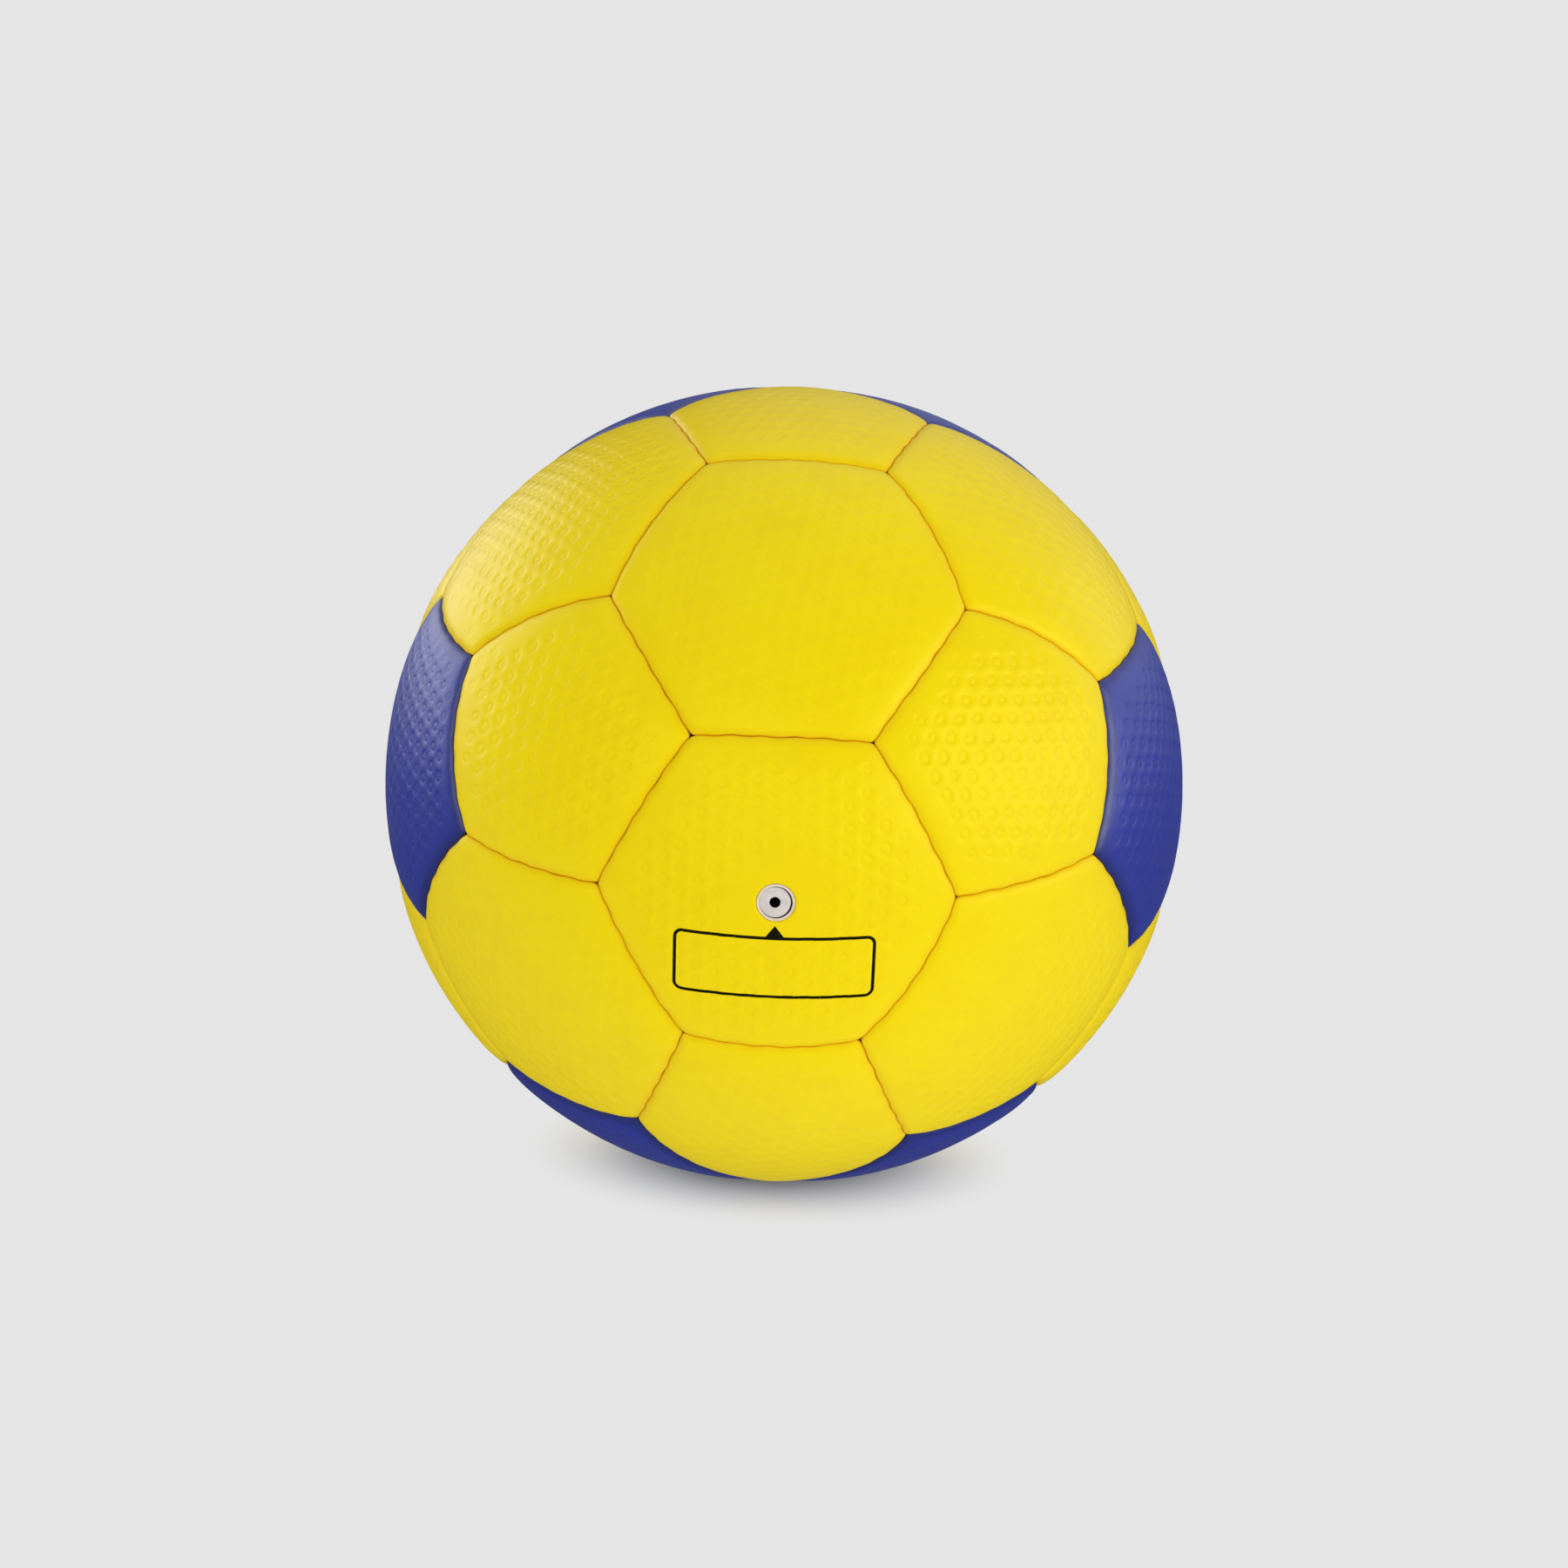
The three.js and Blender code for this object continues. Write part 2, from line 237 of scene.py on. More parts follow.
def markMask(shading):
    # a plain rounded frame, and a filled pointer between it and the valve
    across, back, up = [part / mm for part in shading.parts(shading.place())]
    corner = marks["frameCorner"]
    beside = abs(across) - (marks["frameHalf"][0] - corner)
    sag = (1 - (across / marks["frameHalf"][0]) ** 2) * marks["frameSag"]
    above = abs(up + sag - marks["frameMiddle"]) - (marks["frameHalf"][1] - corner)
    outside = (beside.atLeast(0) ** 2 + above.atLeast(0) ** 2) ** 0.5
    fromLine = abs(outside + beside.atLeast(above).atMost(0) - corner)
    soften = marks["soften"]
    frameLine = fromLine.ramp(marks["line"] + soften, marks["line"] - soften)
    slope = marks["pointerHalf"] / (marks["pointerTip"] - marks["pointerFoot"])
    foot = marks["pointerFoot"]
    inPointer = (marks["pointerTip"] - up) * slope - abs(across)
    pointer = inPointer.ramp(-soften, soften) * up.ramp(foot - soften, foot + soften)
    facing = back.ramp(*marks["facing"])
    return frameLine.atLeast(pointer) * facing


def leatherFinish(name, tones, printed=False):
    shading = newFinish(name)
    mottle = shading.noise(leather["mottle"], 3)
    cloud = shading.noise(leather["cloud"], 2)
    grain = shading.noise(leather["grain"], 4, 0.6)
    pores = shading.cells(leather["pores"])
    seam = shading.attribute("fromSeam")
    pressed = shading.attribute("pressed")
    # crease: painted shade deep in the seam groove, also made matt there
    crease = seam.ramp(*leather["creaseReach"])
    matt = leather["matt"]

    clouded = cloud.ramp(*leather["cloudEdges"]) * leather["cloudShare"]
    colour = shading.blend(clouded, tones["skin"], tones["pale"])
    mottled = mottle.ramp(*leather["mottleEdges"]) * leather["mottleShare"]
    colour = shading.blend(mottled, colour, tones["deep"])
    # darker in the pressed rings: painted shade in their recesses
    colour = shading.blend(pressed * leather["pressedShare"], colour, tones["deep"])
    speckle = (grain - 0.5) * leather["grainShare"] + leather["grainLift"]
    colour = shading.blend(speckle, colour, tones["deep"])
    # edge: painted shade on the roll towards the seams
    edge = seam.ramp(tones["edgeReach"], leather["edgeFull"])
    colour = shading.blend(edge * tones["edgeShare"], colour, tones["edge"])
    colour = shading.blend(crease * leather["creaseShare"], colour, tones["crease"])
    roughness = tones["roughness"] + (mottle - 0.5) * matt["mottle"] + (grain - 0.5) * matt["grain"]
    roughness = roughness - pressed * matt["pressed"] + crease * matt["crease"]
    if printed:
        ink = markMask(shading) * grain.ramp(*marks["inkWear"])
        colour = shading.blend(ink, colour, marks["ink"])
        roughness = roughness + ink * marks["inkMatt"]
    fine = shading.bump(grain, leather["grainDepth"], leather["grainStrength"])
    relief = shading.bump(pores, leather["poreDepth"], leather["poreStrength"], fine)
    return shading.surface({
        "Base Color": colour,
        "Roughness": roughness,
        "Normal": relief,
        "Specular IOR Level": tones["specular"],
        "Specular Tint": tones["gloss"],
        "Coat Weight": leather["coat"],
        "Coat Roughness": leather["coatRoughness"],
        "Sheen Weight": tones["sheen"],
        "Sheen Roughness": leather["sheenRoughness"],
    })


yarn = {
    "plies": 3,
    "lay": 1.6,  # millimetres for one full turn of a ply
    "plyDepth": 0.08 * mm,
    "fluff": 0.15 * mm, "fluffShare": 0.35, "fluffRise": 0.3, "fluffMatt": 0.2,
    "roughness": 0.62,
}


def threadFinish():
    # waxed three-ply yarn; the strand attribute holds each point's place on its own stitch
    shading = newFinish("waxedThread")
    side, other, along = shading.parts(shading.attribute("strand", "Vector"))
    turn = side.reckon("ARCTAN2", other, side)
    wind = turn * yarn["plies"] + along * (math.tau / yarn["lay"])
    ply = wind.reckon("SINE", wind) * 0.5 + 0.5
    fluff = shading.noise(yarn["fluff"], 3)
    # darker in the hollows between the plies: painted shade
    colour = shading.blend(ply, tone("6b4a0c"), tone("b98a20"))
    colour = shading.blend(fluff * yarn["fluffShare"], colour, tone("d8b45a"))
    return shading.surface({
        "Base Color": colour,
        "Roughness": yarn["roughness"] + fluff * yarn["fluffMatt"],
        "Normal": shading.bump(ply + fluff * yarn["fluffRise"], yarn["plyDepth"]),
    })


rubber = {
    "speck": 0.25 * mm,
    "scuff": 1.4 * mm,
    "scratchWidth": 0.22 * mm,
    "scratchTurn": (0, 0.6, 0),
    "scratchStretch": (0.12, 1, 1),
    "depth": 0.03 * mm,
    "relief": 0.7,
    "scuffShare": 0.5, "scuffMatt": 0.2,
    "speckShare": 0.3, "speckRise": 0.5,
    "scratchShare": 0.35, "scratchMatt": 0.15, "scratchSink": 0.6,
    "bleed": (1.2, 0.7, 0.5),
    "bleedSize": 1 * mm,
    # painted shade, in millimetres from the core's axis and below the ball's surface
    "holeMiddle": (-0.17, 0.05),  # as far as the core is pushed aside
    "holeReach": (1.2, 1.1),
    "gapReach": (3.7, 3.6),
    "gapTop": (0.65, 1.0),
    "gapFloor": (2.8, 2.4),
    "soil": tone("180f0a"),
}


def rubberFinish(name, skin, shade, roughness, translucence):
    # moulded rubber, faintly scratched by pump needles, with painted shade in the needle hole and in the
    # gap round the core
    shading = newFinish(name)
    place = shading.place()
    mapping = {"Vector": place, "Rotation": rubber["scratchTurn"], "Scale": rubber["scratchStretch"]}
    stretched = shading.node("ShaderNodeMapping", {}, mapping)
    speck = shading.noise(rubber["speck"], 3)
    scuff = shading.noise(rubber["scuff"], 4, 0.6)
    scratch = shading.noise(rubber["scratchWidth"], 2, 0.5, stretched).ramp(0.6, 0.72)
    colour = shading.blend(scuff.ramp(0.38, 0.7) * rubber["scuffShare"], skin, shade)
    colour = shading.blend(scratch * rubber["scratchShare"], colour, shade)
    colour = shading.blend(speck.ramp(0.62, 0.7) * rubber["speckShare"], colour, shade)
    across, back, up = [part / mm for part in shading.parts(place)]
    depth = back + ballRadius / mm
    aside, above = rubber["holeMiddle"]
    fromAxis = ((across - aside) ** 2 + (up - above) ** 2) ** 0.5
    inHole = fromAxis.ramp(*rubber["holeReach"])
    inGap = fromAxis.ramp(*rubber["gapReach"])
    inGap = inGap * depth.ramp(*rubber["gapTop"]) * depth.ramp(*rubber["gapFloor"])
    # painted shade down the needle hole and in the gap round the core
    colour = shading.blend(inHole.atLeast(inGap), colour, rubber["soil"])
    roughness = roughness + scuff * rubber["scuffMatt"] + scratch * rubber["scratchMatt"]
    relief = speck * rubber["speckRise"] - scratch * rubber["scratchSink"]
    return shading.surface({
        "Base Color": colour,
        "Roughness": roughness,
        "Normal": shading.bump(relief, rubber["depth"], rubber["relief"]),
        "Subsurface Weight": translucence,
        "Subsurface Radius": rubber["bleed"],
        "Subsurface Scale": rubber["bleedSize"],
    })


canvas = {
    "thread": 0.7 * mm, "slub": 0.9 * mm, "slubShare": 0.3, "slubRise": 0.4, "slubMatt": 0.1,
    "roughness": 0.85, "depth": 0.15 * mm,
}
latex = {
    "cloud": 14 * mm, "dust": 0.6 * mm, "dustShare": 0.5, "dustMatt": 0.25,
    "roughness": 0.5, "depth": 0.05 * mm,
}


def canvasFinish():
    # plain weave, warp one way and weft the other
    shading = newFinish("patchCanvas")
    across, back, up = shading.parts(shading.place())
    pick = math.tau / canvas["thread"]
    warp = across.reckon("SINE", across * pick)
    weft = up.reckon("SINE", up * pick)
    weave = warp * weft * 0.5 + 0.5
    slub = shading.noise(canvas["slub"], 3)
    # darker where a thread dips under the other: painted shade
    colour = shading.blend(weave, tone("8f8a7a"), tone("c4bfae"))
    colour = shading.blend(slub * canvas["slubShare"], colour, tone("d8d3c4"))
    return shading.surface({
        "Base Color": colour,
        "Roughness": canvas["roughness"] + slub * canvas["slubMatt"],
        "Normal": shading.bump(weave + slub * canvas["slubRise"], canvas["depth"]),
    })


def latexFinish():
    shading = newFinish("bladderLatex")
    cloud = shading.noise(latex["cloud"], 3)
    dust = shading.noise(latex["dust"], 4)
    colour = shading.blend(cloud.ramp(0.35, 0.7), tone("c9a77a"), tone("b58f60"))
    colour = shading.blend(dust.ramp(0.5, 0.8) * latex["dustShare"], colour, tone("e6dcc8"))
    return shading.surface({
        "Base Color": colour,
        "Roughness": latex["roughness"] + dust * latex["dustMatt"],
        "Normal": shading.bump(dust, latex["depth"]),
    })


finishes = {
    "yellow": leatherFinish("yellowLeather", yellowTones),
    "printed": leatherFinish("yellowLeatherMarked", yellowTones, printed=True),
    "blue": leatherFinish("blueLeather", blueTones),
    "thread": threadFinish(),
    "rim": rubberFinish("valveRimRubber", tone("ecdccb"), tone("dcc0ae"), 0.36, 0.25),
    "core": rubberFinish("valveCoreRubber", tone("ded7cf"), tone("c6bbbb"), 0.42, 0.08),
    "canvas": canvasFinish(),
    "latex": latexFinish(),
}
print("finishes made:", len(finishes))


# the pattern of the cover

cover = {
    "crownFall": 0.25 * mm,  # from the middle of a panel to its seams, beside the roll
    "rollReach": 6.5 * mm,  # from the seam to where the skin starts to roll over
    "rollDepth": 0.8 * mm,
    "shoulderReach": 1.8 * mm,  # the last of the roll turns straight down
    "shoulderDepth": 0.5 * mm,
    "cornerReach": 9.0 * mm,  # three panels meeting pull each other down
    "cornerDip": 0.25 * mm,
    "lipGap": 0.012 * mm,  # from the middle of the seam to each lip
    "lipDrop": 0.25 * mm,
    "flangeGap": 0.15 * mm,
    "flangeDepth": 6.2 * mm,
    "flangeWall": 1.6 * mm,
    "thickness": 3.0 * mm,
    "cornerRounding": 1.5 * mm,  # at the shoulder
    "lipRounding": 0.015 * mm,
    "roundingCurve": 1.3,
    "swell": 0.09 * mm,
    "swellSize": 17 * mm,
}

# the stitches pull the lips about: sideways by turns, and down at each one
stitching = {
    "pitch": 6.4 * mm,
    "wander": 0.19 * mm,
    "uneven": 0.22 * mm,
    "unevenSize": 8 * mm,
    "pucker": 0.16 * mm,
    "puckerReach": 2.0 * mm,
    "wanderReach": 1.6 * mm,
    "calmCorner": 4.5 * mm,
    "bow": 0.9 * mm,  # no seam runs quite straight
    "bowReach": 12 * mm,
    # how finely the noise is read
    "shiftNoise": 7, "bowNoise": 11, "unevenNoise": 40,
}

# degrees round from the valve and up, of the corners that lie off the even pattern
oddCorners = (
    (-54.4, 25.1), (-46.8, 2.0), (-25.6, 61.9), (26.9, 61.5), (-24.7, -41.1), (27.0, -43.4), (0.8, -69.0),
    (-74.7, 71.0), (82.0, 71.0),
)

# how far some seams bow away from the panel named first, in millimetres
bowedSeams = {
    "yellow_pentagon_05": {
        "blue_hexagon_03": 3.0, "yellow_hexagon_01": 1.5, "yellow_hexagon_03": 0.0,
        "valve_hexagon": -0.4, "yellow_hexagon_07": 1.0,
    },
    "yellow_pentagon_06": {
        "blue_hexagon_04": 1.7, "yellow_hexagon_02": 1.8, "yellow_hexagon_03": 0.0,
        "valve_hexagon": -0.3, "yellow_hexagon_08": 0.6,
    },
    "yellow_pentagon_11": {
        "valve_hexagon": -1.2, "yellow_hexagon_07": -0.2, "yellow_hexagon_08": 0.0,
        "blue_hexagon_07": 2.5, "blue_hexagon_08": 4.5,
    },
    "yellow_pentagon_01": {"yellow_hexagon_03": 0.5, "blue_hexagon_01": 3.5, "blue_hexagon_02": 3.5},
    "yellow_hexagon_01": {"blue_hexagon_01": 3.0, "blue_hexagon_03": 2.0},
    "yellow_hexagon_02": {"blue_hexagon_02": 3.0, "blue_hexagon_04": 1.5},
    "valve_hexagon": {"yellow_hexagon_03": 0.1, "yellow_hexagon_07": 0.4, "yellow_hexagon_08": 1.5},
    "yellow_hexagon_03": {"yellow_hexagon_01": 0.8, "yellow_hexagon_02": 0.9},
    "yellow_hexagon_07": {"blue_hexagon_03": 2.0, "blue_hexagon_07": 1.5},
    "yellow_hexagon_08": {"blue_hexagon_04": 1.5, "blue_hexagon_08": 1.5},
}


def makeSeam(edge):
    start, end = (vert.co.normalized() for vert in edge.verts)
    normal = start.cross(end).normalized()
    if next(part for part in normal if abs(part) > sameSpot["pattern"]) < 0:
        normal.negate()
    middle = (start + end).normalized()
    return {
        "normal": normal,
        "middle": middle,
        "along": middle.cross(normal),
        "half": start.angle(end) / 2 * ballRadius,
        "ends": (start, end),
        "shift": math.tau * noise.noise(middle * stitching["shiftNoise"]),
        "bow": stitching["bow"] * noise.noise(middle * stitching["bowNoise"]),  # towards the normal
    }


def makePanel(face, seams, places):
    middle = face.calc_center_median().normalized()
    across = ball["upWay"].cross(middle).normalized()
    sides = []
    for edge in face.edges:
        seam = seams[edge.index]
        inward = seam["normal"] * math.copysign(1, seam["normal"].dot(middle))
        sides.append({"seam": seam, "inward": inward, "rise": inward.dot(middle)})
    return {
        "node": min(places, key=lambda name: (places[name] - middle * ballRadius).length),
        "middle": middle,
        "across": across,
        "up": middle.cross(across),
        "sides": sides,
        "corners": [vert.co.normalized() for vert in face.verts],
        "apothem": min(side["rise"] for side in sides) * ballRadius,
        "cornerTurn": max(middle.angle(vert.co) for vert in face.verts),
    }


def toward(azimuth, elevation):
    turn, rise = math.radians(azimuth), math.radians(elevation)
    return Vector((math.sin(turn) * math.cos(rise), -math.cos(turn) * math.cos(rise), math.sin(rise)))


def cutTips(bm, verts, offset):
    # a face takes the place of each vertex
    return bmesh.ops.bevel(
        bm, geom=verts, offset=offset, offset_type="OFFSET", affect="VERTICES",
        segments=1, profile=0.5, material=-1, clamp_overlap=False,
    )["faces"]


def makePattern():
    # an icosahedron with its tips cut off, turned so that one hexagon is the valve's
    bm = bmesh.new()
    bmesh.ops.create_icosphere(bm, subdivisions=1, radius=1)
    third = next(iter(bm.edges)).calc_length() / 3
    cutTips(bm, bm.verts[:], third)
    bmesh.ops.remove_doubles(bm, verts=bm.verts[:], dist=sameSpot["pattern"])
    hexagon = next(face for face in bm.faces if len(face.verts) == 6)
    top = next(edge for edge in hexagon.edges if all(len(face.verts) == 6 for face in edge.link_faces))
    forward = hexagon.calc_center_median().normalized()
    upward = (top.verts[0].co + top.verts[1].co).normalized()
    upward = (upward - forward * upward.dot(forward)).normalized()
    found = Matrix((forward, upward, forward.cross(upward)))
    wanted = Matrix((ball["valveWay"], ball["upWay"], ball["valveWay"].cross(ball["upWay"])))
    bmesh.ops.transform(bm, matrix=(wanted.transposed() @ found).to_4x4(), verts=bm.verts[:])
    for azimuth, elevation in oddCorners:
        way = toward(azimuth, elevation)
        min(bm.verts, key=lambda vert: vert.co.angle(way)).co = way
    bm.edges.index_update()
    seams = [makeSeam(edge) for edge in bm.edges]
    nodes = [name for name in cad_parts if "hexagon" in name or "pentagon" in name]
    places = {name: sum(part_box(name), Vector()) / 2 for name in nodes}
    panels = [makePanel(face, seams, places) for face in bm.faces]
    bm.free()
    bowSeams({panel["node"]: panel["sides"] for panel in panels})
    return seams, sorted(panels, key=lambda panel: panel["node"])


def bowSeams(sidesOf):
    for first, bows in bowedSeams.items():
        for second, bow in bows.items():
            shared = [side["seam"] for side in sidesOf[second]]
            side = next(side for side in sidesOf[first] if side["seam"] in shared)
            side["seam"]["bow"] = -bow * mm * side["inward"].dot(side["seam"]["normal"])


seams, panels = makePattern()
print("pattern laid out:", len(panels), "panels and", len(seams), "seams")


def clamped(value):
    return min(1, max(0, value))


def softMin(values, rounding):
    # the least value, rounded where two are nearly as small
    near = min(values)
    return near - rounding * math.log(sum(math.exp((near - value) / rounding) for value in values))


def cornerRounding(reach):
    share = clamped(reach / cover["rollReach"]) ** cover["roundingCurve"]
    return cover["lipRounding"] + (cover["cornerRounding"] - cover["lipRounding"]) * share


def reachFrom(panel, point):
    # how far a point lies from its panel's seams, with the corners rounded
    reaches = [point.dot(side["inward"]) for side in panel["sides"]]
    return softMin(reaches, cornerRounding(min(reaches)))


ringSearch = {"beyond": 1.1, "halvings": 17}  # how far past a panel's corners, and how finely


def onRing(panel, outward, reach, depth):
    # the point at one distance from the seams, straight outward from the panel's middle
    radius = ballRadius - depth
    rounding = cornerRounding(reach)
    slopes = [(side["rise"], outward.dot(side["inward"])) for side in panel["sides"]]
    low, high = 0.0, panel["cornerTurn"] * ringSearch["beyond"]
    for step in range(ringSearch["halvings"]):
        turn = (low + high) / 2
        up, run = radius * math.cos(turn), radius * math.sin(turn)
        if softMin([up * rise + run * slope for rise, slope in slopes], rounding) > reach:
            low = turn
        else:
            high = turn
    return (panel["middle"] * math.cos(low) + outward * math.sin(low)) * radius


def skinDepth(panel, reach):
    # the crown falls a little towards the seam, the skin rolls over and turns down at the lip
    fall = cover["crownFall"] * (1 - reach / panel["apothem"]) ** 2
    roll = 1 - clamped(reach / cover["rollReach"])
    shoulder = 1 - clamped(reach / cover["shoulderReach"])
    turn = 1 - math.sqrt(1 - shoulder ** 2)
    return fall + cover["rollDepth"] * roll ** 2 + cover["shoulderDepth"] * turn


def cornerDip(corners, point):
    way = point.normalized()
    near = min((way - corner).length for corner in corners) * ballRadius
    return cover["cornerDip"] * max(0, 1 - near / cover["cornerReach"]) ** 2


def bowAt(seam, point):
    # (sideways along the seam's normal, its slope)
    share = point.dot(seam["along"]) / seam["half"]
    if abs(share) > 1:
        return 0, 0
    return seam["bow"] * (1 - share ** 2), -2 * seam["bow"] * share / seam["half"]


def stitchPull(seam, point):
    # (sideways along the seam's normal, down), the same for the panels on both sides
    along = point.dot(seam["along"])
    calm = clamped((seam["half"] - abs(along)) / stitching["calmCorner"])
    turn = math.tau * along / stitching["pitch"] + seam["shift"]
    spot = seam["middle"] * stitching["unevenNoise"] + Vector((along / stitching["unevenSize"], 0, 0))
    uneven = noise.noise(spot)
    sideways = calm * (stitching["wander"] * math.sin(turn) + stitching["uneven"] * uneven)
    return sideways, calm * stitching["pucker"] * (0.5 + 0.5 * math.cos(turn)) ** 2


def settled(panel, point):
    # where a point of an even panel ends up once its seams are bowed, pulled and puckered
    reaches = [max(0, point.dot(side["inward"])) for side in panel["sides"]]
    moved = point.copy()
    for side, reach in zip(panel["sides"], reaches):
        if reach < stitching["bowReach"]:
            fade = (1 - reach / stitching["bowReach"]) ** 2
            moved += side["seam"]["normal"] * bowAt(side["seam"], point)[0] * fade
    reach = min(reaches)
    seam = panel["sides"][reaches.index(reach)]["seam"]
    sideways, down = stitchPull(seam, point)
    moved += seam["normal"] * sideways * math.exp(-reach / stitching["wanderReach"])
    down = down * math.exp(-reach / stitching["puckerReach"]) + cornerDip(panel["corners"], point)
    return moved.normalized() * (point.length - down)


def swell(point):
    # the skin isn't quite even
    return cover["swell"] * noise.noise(point / cover["swellSize"])


# the panels

sheet = {
    "pitchAlong": 4.3 * mm,
    "pitchAcross": 4.1 * mm,
    "jitter": 0.2 * mm,
    "mostTurn": 30,  # degrees that the rows may be turned from level
    "bow": 0.9 * mm,  # the rows aren't quite straight
    "bowSize": 30 * mm,
    "bowSpread": 9,  # and differ from panel to panel
    "bowAcross": Vector((5, 5, 5)),
    "trim": 1.9 * mm,  # from the seams to the sheet's edge, where the roll is sewn on
    "mergeReach": 0.9 * mm,
    "longEdge": 2.4 * mm,  # a longer one of the sheet's open edges is cut in two
    "longEdgeAtValve": 1.68 * mm,
    "cornerShare": 0.25,  # how near an edge's end may be to a corner, to be moved there
    "rollRings": 6,
    "ringBias": 2.0,
    "liningRings": (0.35, 0.7),
    "valveClear": 7.0 * mm,  # no dimple is nearer to the valve
    "holeCut": 5.7 * mm,
    "seamMost": 10,  # millimetres, where the distance from the seam stops counting
}

# a pressed ring with a low button in it
dimple = {
    "rim": 1.74 * mm,
    "sizes": (0.88, 1.08),
    # how wide the step is, how far it rises, and how dark it makes the leather, as painted shade in the
    # recess
    "groove": (0.34 * mm, -0.32 * mm, 1),
    "button": (0.42 * mm, 0.2 * mm, 0.25),
    "firstRow": 3.9 * mm,
    "fullRow": 7.5 * mm,
    "faintest": 0.6,
    "blueShare": 0.6,
    "room": 0.1 * mm,  # between two dimples
}

# how deep the dimples of some panels are pressed; the other yellow ones have 1, the blue ones blueShare
pressedShares = {
    "valve_hexagon": 0.8, "yellow_hexagon_01": 0.75, "yellow_hexagon_02": 0.6,
    "yellow_hexagon_03": 0.55, "yellow_hexagon_07": 0.5, "yellow_hexagon_08": 0.5,
    "yellow_pentagon_01": 0.6, "yellow_pentagon_05": 0.85, "yellow_pentagon_11": 0.35,
}

# how far each panel's rows are turned from level, where the photograph shows them
rowTurns = {"valve_hexagon": -28, "yellow_pentagon_06": -5}

# radius and depth of the skin's turn round the valve, in millimetres
valveSeat = ((5.1, 0.04), (4.6, 0.08), (4.24, 0.22), (4.08, 0.5), (4.06, 0.9))


def vertsAmong(parts):
    return [part for part in parts if isinstance(part, bmesh.types.BMVert)]


def extrudeRing(bm, edges, place):
    made = bmesh.ops.extrude_edge_only(bm, edges=edges)["geom"]
    ring = set(vertsAmong(made))
    for vert in ring:
        vert.co = place(vert.co)
    return [part for part in made if isinstance(part, bmesh.types.BMEdge) and ring.issuperset(part.verts)]


def vertsOf(edges):
    return {vert for edge in edges for vert in edge.verts}


def outwardFrom(panel, point):
    middle = panel["middle"]
    return (point - middle * point.dot(middle)).normalized()


def staggeredSheet(panel, rowTurn):
    # a net of triangles with a point where each dimple goes, laid on the ball
    bm = bmesh.new()
    reach = panel["cornerTurn"] * ballRadius
    columns = 2 * math.ceil(reach / sheet["pitchAlong"]) + 2
    rows = 2 * math.ceil(reach / sheet["pitchAcross"]) + 2
    bmesh.ops.create_grid(bm, x_segments=columns, y_segments=rows, size=1)
    size = (columns * sheet["pitchAlong"] / 2, rows * sheet["pitchAcross"] / 2, 1)
    bmesh.ops.scale(bm, vec=size, verts=bm.verts[:])
    for vert in bm.verts:
        row = round(vert.co.y / sheet["pitchAcross"])
        vert.co.x += (row % 2 - 0.5) * sheet["pitchAlong"] / 2
    bmesh.ops.triangulate(bm, faces=bm.faces[:], quad_method="SHORT_EDGE")
    bmesh.ops.rotate(bm, cent=(0, 0, 0), matrix=Matrix.Rotation(rowTurn, 3, "Z"), verts=bm.verts[:])
    for vert in bm.verts:
        spot = vert.co / sheet["bowSize"] + panel["middle"] * sheet["bowSpread"]
        aside, above = noise.noise(spot), noise.noise(spot + sheet["bowAcross"])
        vert.co.x += sheet["bow"] * aside + dice.uniform(-1, 1) * sheet["jitter"]
        vert.co.y += sheet["bow"] * above + dice.uniform(-1, 1) * sheet["jitter"]
        turn = vert.co.xy.length / ballRadius
        way = (panel["across"] * vert.co.x + panel["up"] * vert.co.y).normalized()
        vert.co = (panel["middle"] * math.cos(turn) + way * math.sin(turn)) * ballRadius
    return bm


def cutSheet(bm, panel):
    # trimmed along the seams and across the corners
    trim = sheet["trim"]
    cuts = [(side["inward"] * trim, side["inward"]) for side in panel["sides"]]
    setBack = trim + cornerRounding(trim) * math.log(2)
    for corner in panel["corners"]:
        inward = -outwardFrom(panel, corner)
        ways = [side["inward"] for side in panel["sides"]]
        slope = max(way.dot(inward) for way in ways if abs(way.dot(corner)) < sameSpot["corner"])
        cuts.append((corner * ballRadius + inward * setBack / slope, inward))
    for point, normal in cuts:
        parts = bm.verts[:] + bm.edges[:] + bm.faces[:]
        bmesh.ops.bisect_plane(
            bm, geom=parts, dist=sameSpot["cut"], plane_co=point, plane_no=normal, clear_inner=True,
        )
    bmesh.ops.remove_doubles(bm, verts=bm.verts[:], dist=sheet["mergeReach"])


def cutValveHole(bm):
    inside = [vert for vert in bm.verts if vert.co.xz.length < sheet["holeCut"]]
    bmesh.ops.delete(bm, geom=inside, context="VERTS")


def freeEdges(bm, panel, atValve=False):
    # the sheet's open edges: round the outside, or round the valve
    def inMiddle(edge):
        middle = (edge.verts[0].co + edge.verts[1].co) / 2
        return middle.angle(panel["middle"]) < panel["cornerTurn"] / 3

    return [edge for edge in bm.edges if edge.is_boundary and inMiddle(edge) == atValve]


def shortenEdges(bm, edges, longest):
    longOnes = [edge for edge in edges if edge.calc_length() > longest]
    if longOnes:
        bmesh.ops.subdivide_edges(bm, edges=longOnes, cuts=1)


def pointCorners(bm, panel):
    # each corner of the panel gets a point of the sheet's edge
    middle = panel["middle"]
    for corner in panel["corners"]:
        way = outwardFrom(panel, corner)
        edges = freeEdges(bm, panel)
        ends = {vert: outwardFrom(panel, vert.co) for vert in vertsOf(edges)}
        near = min(edges, key=lambda edge: sum(ends[vert].angle(way) for vert in edge.verts))
        first, second = near.verts
        point = min(near.verts, key=lambda vert: ends[vert].angle(way))
        if ends[point].angle(way) > sheet["cornerShare"] * ends[first].angle(ends[second]):
            point = vertsAmong(bmesh.ops.subdivide_edges(bm, edges=[near], cuts=1)["geom_inner"])[0]
        axial = middle * point.co.dot(middle)
        point.co = axial + way * (point.co - axial).length


